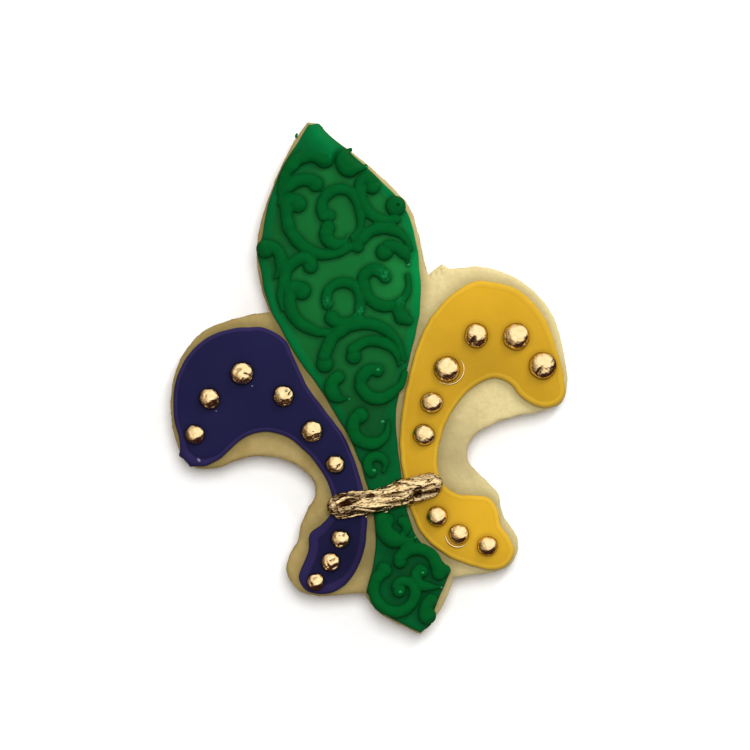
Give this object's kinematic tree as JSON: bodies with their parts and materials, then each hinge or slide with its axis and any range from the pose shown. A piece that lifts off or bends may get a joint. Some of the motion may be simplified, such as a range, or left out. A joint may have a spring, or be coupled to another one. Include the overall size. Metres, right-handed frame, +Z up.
{
  "type": "decorated butter cookie",
  "caption": "Flat butter cookie cut as a fleur-de-lis, flooded with purple, green and yellow icing, with piped green scrolls, golden dots and a golden band.",
  "frame": {"origin": "middle of the cookie's box, on the flat underside that it lies on", "axes": "+Z up out of the decorated face, +Y from the foot of the stem to the tip of the tall petal"},
  "size_m": [0.083, 0.1094, 0.011],
  "materials": {
    "cookie": "matt baked butter dough, pale with faintly browned edges",
    "purple_icing": "dried icing, satin, deep purple",
    "green_icing": "dried icing, satin, deep green",
    "yellow_icing": "dried icing, satin, warm golden yellow",
    "gold_paint": "edible metallic gold paint, bright and a little streaky, over icing"
  },
  "bodies": {
    "root": {"cookie": "cookie", "icing_purple": "purple_icing", "icing_green": "green_icing", "icing_yellow": "yellow_icing", "scroll_1": "green_icing", "scroll_2": "green_icing", "scroll_3": "green_icing", "scroll_4": "green_icing", "scroll_5": "green_icing", "scroll_6": "green_icing", "scroll_7": "green_icing", "scroll_8": "green_icing", "scroll_9": "green_icing", "scroll_10": "green_icing", "scroll_11": "green_icing", "scroll_12": "green_icing", "scroll_13": "green_icing", "scroll_14": "green_icing", "scroll_15": "green_icing", "dot_purple_1": "gold_paint", "dot_purple_2": "gold_paint", "dot_purple_3": "gold_paint", "dot_purple_4": "gold_paint", "dot_purple_5": "gold_paint", "dot_purple_6": "gold_paint", "dot_purple_7": "gold_paint", "dot_purple_8": "gold_paint", "dot_purple_9": "gold_paint", "dot_yellow_1": "gold_paint", "dot_yellow_2": "gold_paint", "dot_yellow_3": "gold_paint", "dot_yellow_4": "gold_paint", "dot_yellow_5": "gold_paint", "dot_yellow_6": "gold_paint", "dot_yellow_7": "gold_paint", "dot_yellow_8": "gold_paint", "dot_yellow_9": "gold_paint", "band": "gold_paint"}
  },
  "joints": []
}
